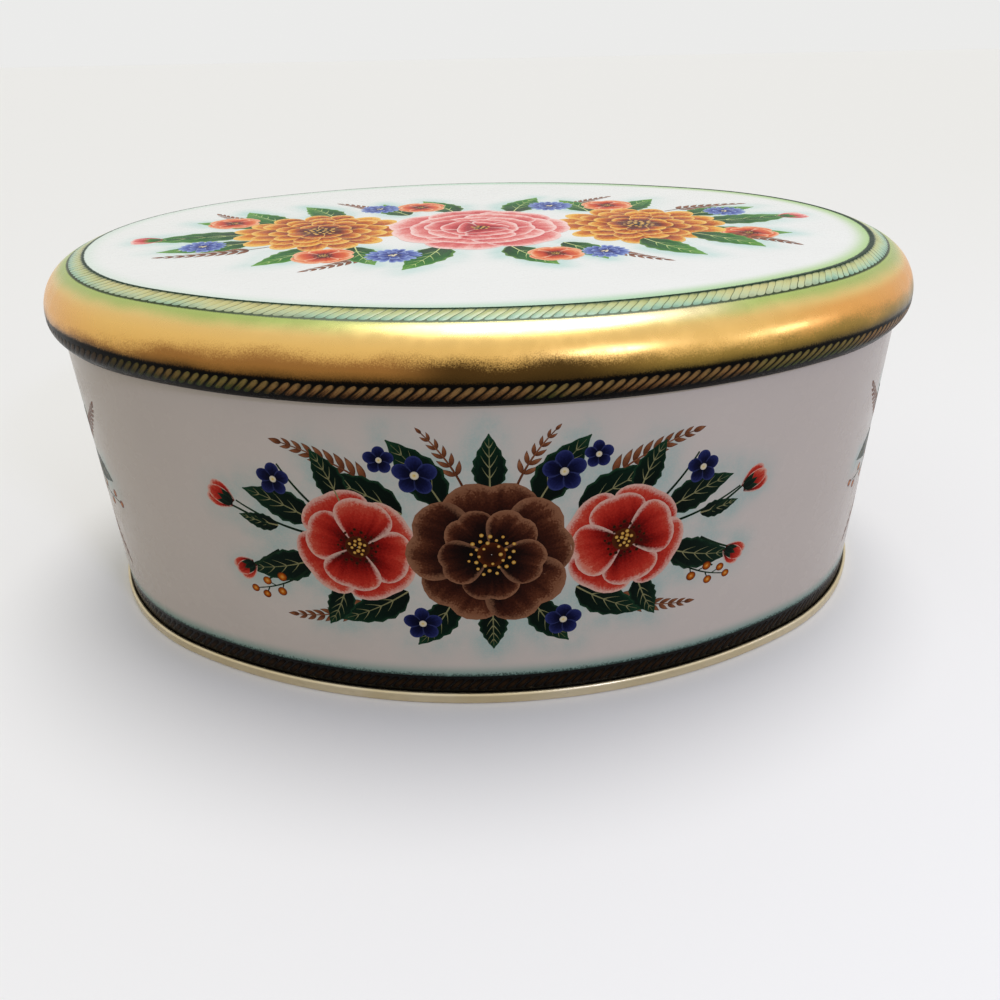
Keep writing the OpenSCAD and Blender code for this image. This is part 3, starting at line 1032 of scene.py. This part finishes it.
def leaf_glow(x, y, spray):
    """Glow at print coordinates: 1 on the spray's leaves, fading away from them."""
    leaves = [p for p in spray.patches if p["sheet"] == "leaves"]
    dots = np.concatenate([np.stack([p["x"].ravel(), p["y"].ravel()], axis=-1)[::3] for p in leaves])
    glow = np.zeros(x.shape)
    margin = 3 * GLOW_REACH
    low = dots.min(axis=0) - margin
    high = dots.max(axis=0) + margin
    inside = np.flatnonzero((x > low[0]) & (x < high[0]) & (y > low[1]) & (y < high[1]))
    for part in np.array_split(inside, max(1, len(inside) // 400)):
        offset_x = x[part][:, None] - dots[None, :, 0]
        offset_y = y[part][:, None] - dots[None, :, 1]
        nearest = (offset_x ** 2 + offset_y ** 2).min(axis=1)
        glow[part] = np.exp(-nearest / GLOW_REACH ** 2)
    return glow


# The three sheet-metal pieces

OUTSIDE, INSIDE = 0, 1
lacquer = lacquer_look()


def wall_piece(placed):
    """Body wall: printed outside, rolled edge, lacquered inside with the lock seam, hook in the base seam."""
    hook_end = FOOT_CENTRE[0] + HOOK_BEND
    outside = [(0.0, z) for z in np.linspace(1.0, CURL_CENTRE[1], 55)]
    inside = arc(CURL_CENTRE, CURL_RADIUS, 0, CURL_TURN, 22)[1:]
    inside += arc(CURL_CENTRE, CURL_RADIUS - SHEET, CURL_TURN, 0, 14)
    levels = [LOCK_TOP + LOCK_EDGE, LOCK_TOP - LOCK_EDGE, 65, 50, 35, 20]
    levels += [LOCK_BOTTOM + LOCK_EDGE, LOCK_BOTTOM - LOCK_EDGE]
    inside += [(-SHEET, z) for z in levels]
    inside += arc(FOOT_CENTRE, HOOK_BEND + SHEET, 180, 360, 8)
    inside += [(hook_end + SHEET, TOP_CENTRE[1]), (hook_end, TOP_CENTRE[1])]
    inside += arc(FOOT_CENTRE, HOOK_BEND, 360, 180, 6)
    rings = []
    for d, z in outside + inside:
        shift = np.zeros(len(columns))
        if d == 0.0 and SEAM_HEIGHT < z < LOCK_TOP:
            shift[in_groove] = -GROOVE_DEPTH
        if d == -SHEET and LOCK_BOTTOM < z < LOCK_TOP:
            shift[in_lock] = -LOCK_DEPTH
        rings.append(ring(columns, d + shift, z))
    heights = [z for d, z in outside + inside]
    sides = [OUTSIDE] * len(outside) + [INSIDE] * len(inside)
    piece = sweep("tin_wall", rings, heights, [wall_look(), lacquer], sides, "box", True)
    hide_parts("body_wall")
    glow = np.zeros((len(rings), len(columns)))
    x = np.tile(columns, len(outside))
    y = np.repeat(heights[:len(outside)], len(columns))
    for spray, s, z in placed:
        offset = np.mod(x - s + PERIMETER / 2, PERIMETER) - PERIMETER / 2
        glow[:len(outside)] += leaf_glow(offset, y - z, spray).reshape(len(outside), -1)
    set_glow(piece, glow)


def base_piece():
    """Base: sunk floor, chuck wall, foot and the double seam."""
    bend_centre = (CHUCK_INSIDE - FLOOR_BEND, FLOOR_HEIGHT - FLOOR_BEND)
    section = arc(bend_centre, FLOOR_BEND, 90, 0, 7)
    section += arc(FOOT_CENTRE, FOOT_BEND + SHEET, 180, 360, 19)
    section += arc(TOP_CENTRE, HOOK_BEND + SHEET, 0, 180, 13)
    section += [(SEAM_GAP, FOOT_CENTRE[1]), (SEAM_GAP + SHEET, FOOT_CENTRE[1])]
    section += arc(TOP_CENTRE, HOOK_BEND, 180, 0, 7)
    section += arc(FOOT_CENTRE, FOOT_BEND, 360, 180, 11)
    section += arc(bend_centre, FLOOR_BEND + SHEET, 0, 90, 7)
    rings = [ring(columns, d, max(z, 0.0)) for d, z in section]
    rings = shrunk(rings[0], INNER_SCALES) + rings + shrunk(rings[-1], INNER_SCALES[::-1])
    heights = [r[0, 2] for r in rings]
    sides = [0] * len(rings)
    piece = sweep("tin_base", rings, heights, [lacquer], sides, "box", False)
    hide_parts("base_plate")


def lid_piece(spray):
    """Lid: lacquered inside with its folded hem, printed skin and panel outside."""
    turn = math.degrees(SKIRT_TURN)
    hem_end = math.degrees(HEM_LENGTH / SKIRT_RADIUS) - turn
    shoulder = (SHOULDER_D, SHOULDER_Z)
    skirt = (SKIRT_D, SHOULDER_Z)
    slope = 90 - math.degrees(BORDER_SLOPE)
    section = [(PANEL_D - SHEET * math.tan(BORDER_SLOPE / 2), LID_TOP - SHEET)]
    section += arc(shoulder, SHOULDER_RADIUS - SHEET, slope, 0, 16)
    section += arc(skirt, SKIRT_RADIUS + HEM_GAP / 2, 0, -turn, 9)[1:]
    section += arc(FOLD_CENTRE, HEM_GAP / 2, -turn, -turn - 180, 6)[1:]
    section += arc(skirt, SKIRT_RADIUS - HEM_GAP / 2, -turn, hem_end, 7)[1:]
    section += arc(skirt, SKIRT_RADIUS - FOLD_RADIUS, hem_end, -turn, 7)
    section += arc(FOLD_CENTRE, FOLD_RADIUS, -turn - 180, -turn, 11)[1:-1]
    rings = [ring(columns, d, z) for d, z in section]
    rings = shrunk(rings[0], INNER_SCALES) + rings
    # The print starts on the fold, and its coordinate falls from there to the middle of the panel
    fold_rings = 7
    inside = len(rings) - fold_rings
    heights = [SKIN_END + 1.0] * len(rings)
    skirt_v = np.linspace(SKIN_END, WIDEST, 13)
    shoulder_v = np.linspace(WIDEST, BORDER_WIDTH, 27)[1:]
    border_v = np.linspace(BORDER_WIDTH, 0, 13)[1:]
    for v in np.concatenate([skirt_v, shoulder_v, border_v]):
        d, z = lid_skin(v)[:2]
        rings.append(ring(columns, float(d), float(z)))
        heights.append(v)
    for inset in PANEL_INSETS:
        sink = PANEL_SINK * min(1.0, inset / PANEL_SINK_RUN)
        rings.append(ring(columns, PANEL_D - inset, LID_TOP - sink))
        heights.append(-inset)
    scales = np.linspace(1, 0.1, 26)[1:]
    rings += shrunk(rings[-1], scales)
    heights += [-PANEL_INSETS[-1] - PANEL_FALL * (1 - scale) for scale in scales]
    sides = [INSIDE] * inside + [OUTSIDE] * (len(rings) - inside)
    piece = sweep("tin_lid", rings, heights, [lid_look(), lacquer], sides, "lid", False)
    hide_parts("lid")
    glow = np.zeros((len(rings), len(columns)))
    panel = np.array(heights) < 0
    spots = np.array(rings)[panel]
    glow[panel] = leaf_glow(spots[..., 0].ravel(), spots[..., 1].ravel(), spray).reshape(spots.shape[:2])
    set_glow(piece, glow)


wall_print = wall_spray()
end_print = end_spray()
lid_print = lid_spray()
placed_sprays = {
    "front": (wall_print, 0.0, SPRAY_HEIGHT),
    "right": (end_print, RIGHT, END_SPRAY_HEIGHT),
    "back": (wall_print, BACK, SPRAY_HEIGHT),
    "left": (end_print, PERIMETER - RIGHT, END_SPRAY_HEIGHT),
}
wall_piece(list(placed_sprays.values()))
base_piece()
lid_piece(lid_print)
for side_name, (side_print, side_s, side_z) in placed_sprays.items():
    def on_side(x, y, lift, s=side_s, z=side_z):
        return on_wall(x + s, y + z, lift)
    spray_pieces(side_print, side_name, on_side, "box")
spray_pieces(lid_print, "lid", on_panel, "lid")
rope_piece("rope_upper", "rope_top", on_lid_skin, foot=ROPE_TOP_END, tip=ROPE_TOP_START, count=266,
           lean=3.3, relief=0.06, fill=1.0, blunt=10, body="lid")
rope_piece("rope_lower", "rope_low", on_lid_skin, foot=ROPE_LOW_END, tip=ROPE_LOW_START, count=276,
           lean=2.8, relief=0.035, fill=0.92, blunt=5, body="lid")
rope_piece("rope_base", "rope_base", on_wall, foot=ROPE_BASE_START, tip=ROPE_BASE_END, count=272,
           lean=2.6, relief=0.05, fill=0.8, blunt=4, body="box")


# Floor, light and camera

FLOOR_SIZE = 4000.0
FLOOR_SEEN = srgb(240, 239, 236)
FLOOR_LIT = srgb(110, 109, 107)
SKY_COLOUR = (0.98, 0.98, 0.97, 1.0)
SKY_LIGHT = 0.48
SKY_LEVELS = {"Is Glossy Ray": 0.78, "Is Transmission Ray": 0.78, "Is Camera Ray": 0.85}
# Colour of the small lamps, which makes their highlights on the gold pale
COOL_LIGHT = (0.58, 0.64, 1.0)
# Camera fitted to edges of the photograph: place in millimetres, angles in radians, focal length in pixels
CAMERA_PLACE = (-1.29, -210.93, 127.85)
CAMERA_YAW = 0.0229
CAMERA_PITCH = 0.517
CAMERA_ROLL = -0.0184
FOCAL_PIXELS = 834.8
IMAGE_PIXELS = 1000
SENSOR = 36.0


def floor_stage():
    """Floor that is pale to the camera and in mirrors, and throws less light up at the tin."""
    look = Look("pale_floor")
    path = look.add("ShaderNodeLightPath")
    seen = look.math("MAXIMUM", path.outputs["Is Camera Ray"], path.outputs["Is Glossy Ray"])
    seen = look.math("MAXIMUM", seen, path.outputs["Is Transmission Ray"])
    material = look.finish(Base_Color=look.mix(seen, FLOOR_LIT, FLOOR_SEEN), Roughness=0.8)
    size = FLOOR_SIZE * MM
    mesh = bpy.data.meshes.new("floor")
    corners = [(-size, -size, 0), (size, -size, 0), (size, size, 0), (-size, size, 0)]
    mesh.from_pydata(corners, [], [(0, 1, 2, 3)])
    mesh.materials.append(material)
    floor = bpy.data.objects.new("floor", mesh)
    bpy.context.collection.objects.link(floor)


def world_light():
    """Plain sky with one level for soft light, one for what mirrors in the tin and one for the backdrop."""
    world = bpy.data.worlds.new("studio")
    bpy.context.scene.world = world
    world.use_nodes = True
    nodes = world.node_tree.nodes
    links = world.node_tree.links
    sky = nodes["Background"]
    sky.inputs["Color"].default_value = SKY_COLOUR
    path = nodes.new("ShaderNodeLightPath")
    level = None
    for ray, strength in SKY_LEVELS.items():
        mix = nodes.new("ShaderNodeMix")
        links.new(path.outputs[ray], mix.inputs[0])
        mix.inputs[2].default_value = SKY_LIGHT
        mix.inputs[3].default_value = strength
        if level:
            links.new(level, mix.inputs[2])
        level = mix.outputs[0]
    links.new(level, sky.inputs["Strength"])


def lamp(name, kind, energy, place, target, **settings):
    """Lamp that points at a target, with places in metres."""
    data = bpy.data.lights.new(name, kind)
    data.energy = energy
    for key, value in settings.items():
        setattr(data, key, value)
    light = bpy.data.objects.new(name, data)
    light.location = place
    light.rotation_mode = "QUATERNION"
    light.rotation_quaternion = (Vector(target) - Vector(place)).to_track_quat("-Z", "Y")
    bpy.context.collection.objects.link(light)


def camera():
    ahead = Vector((math.sin(CAMERA_YAW), math.cos(CAMERA_YAW), 0))
    forward = math.cos(CAMERA_PITCH) * ahead + Vector((0, 0, -math.sin(CAMERA_PITCH)))
    level = Vector((math.cos(CAMERA_YAW), -math.sin(CAMERA_YAW), 0))
    upright = level.cross(forward)
    right = math.cos(CAMERA_ROLL) * level + math.sin(CAMERA_ROLL) * upright
    up = math.cos(CAMERA_ROLL) * upright - math.sin(CAMERA_ROLL) * level
    data = bpy.data.cameras.new("camera")
    data.sensor_width = SENSOR
    data.lens = FOCAL_PIXELS * SENSOR / IMAGE_PIXELS
    data.clip_start = 0.005
    eye = bpy.data.objects.new("camera", data)
    turn = Matrix((right, up, -forward)).transposed().to_4x4()
    eye.matrix_world = Matrix.Translation(Vector(CAMERA_PLACE) * MM) @ turn
    bpy.context.collection.objects.link(eye)
    bpy.context.scene.camera = eye


floor_stage()
world_light()
lamp("overhead", "SUN", 1.5, (0.1, 0.26, 1.2), (0, 0, 0), angle=math.radians(32))
lamp("strip", "AREA", 0.5, (0.235, -0.42, 0.386), (0.03, -0.07, 0.08), color=COOL_LIGHT,
     shape="RECTANGLE", size=0.08, size_y=0.028)
lamp("kicker", "AREA", 0.22, (0.56, -0.235, 0.305), (0.056, -0.063, 0.079), color=COOL_LIGHT,
     shape="RECTANGLE", size=0.13, size_y=0.05)
camera()
bpy.context.scene.view_settings.view_transform = "Standard"
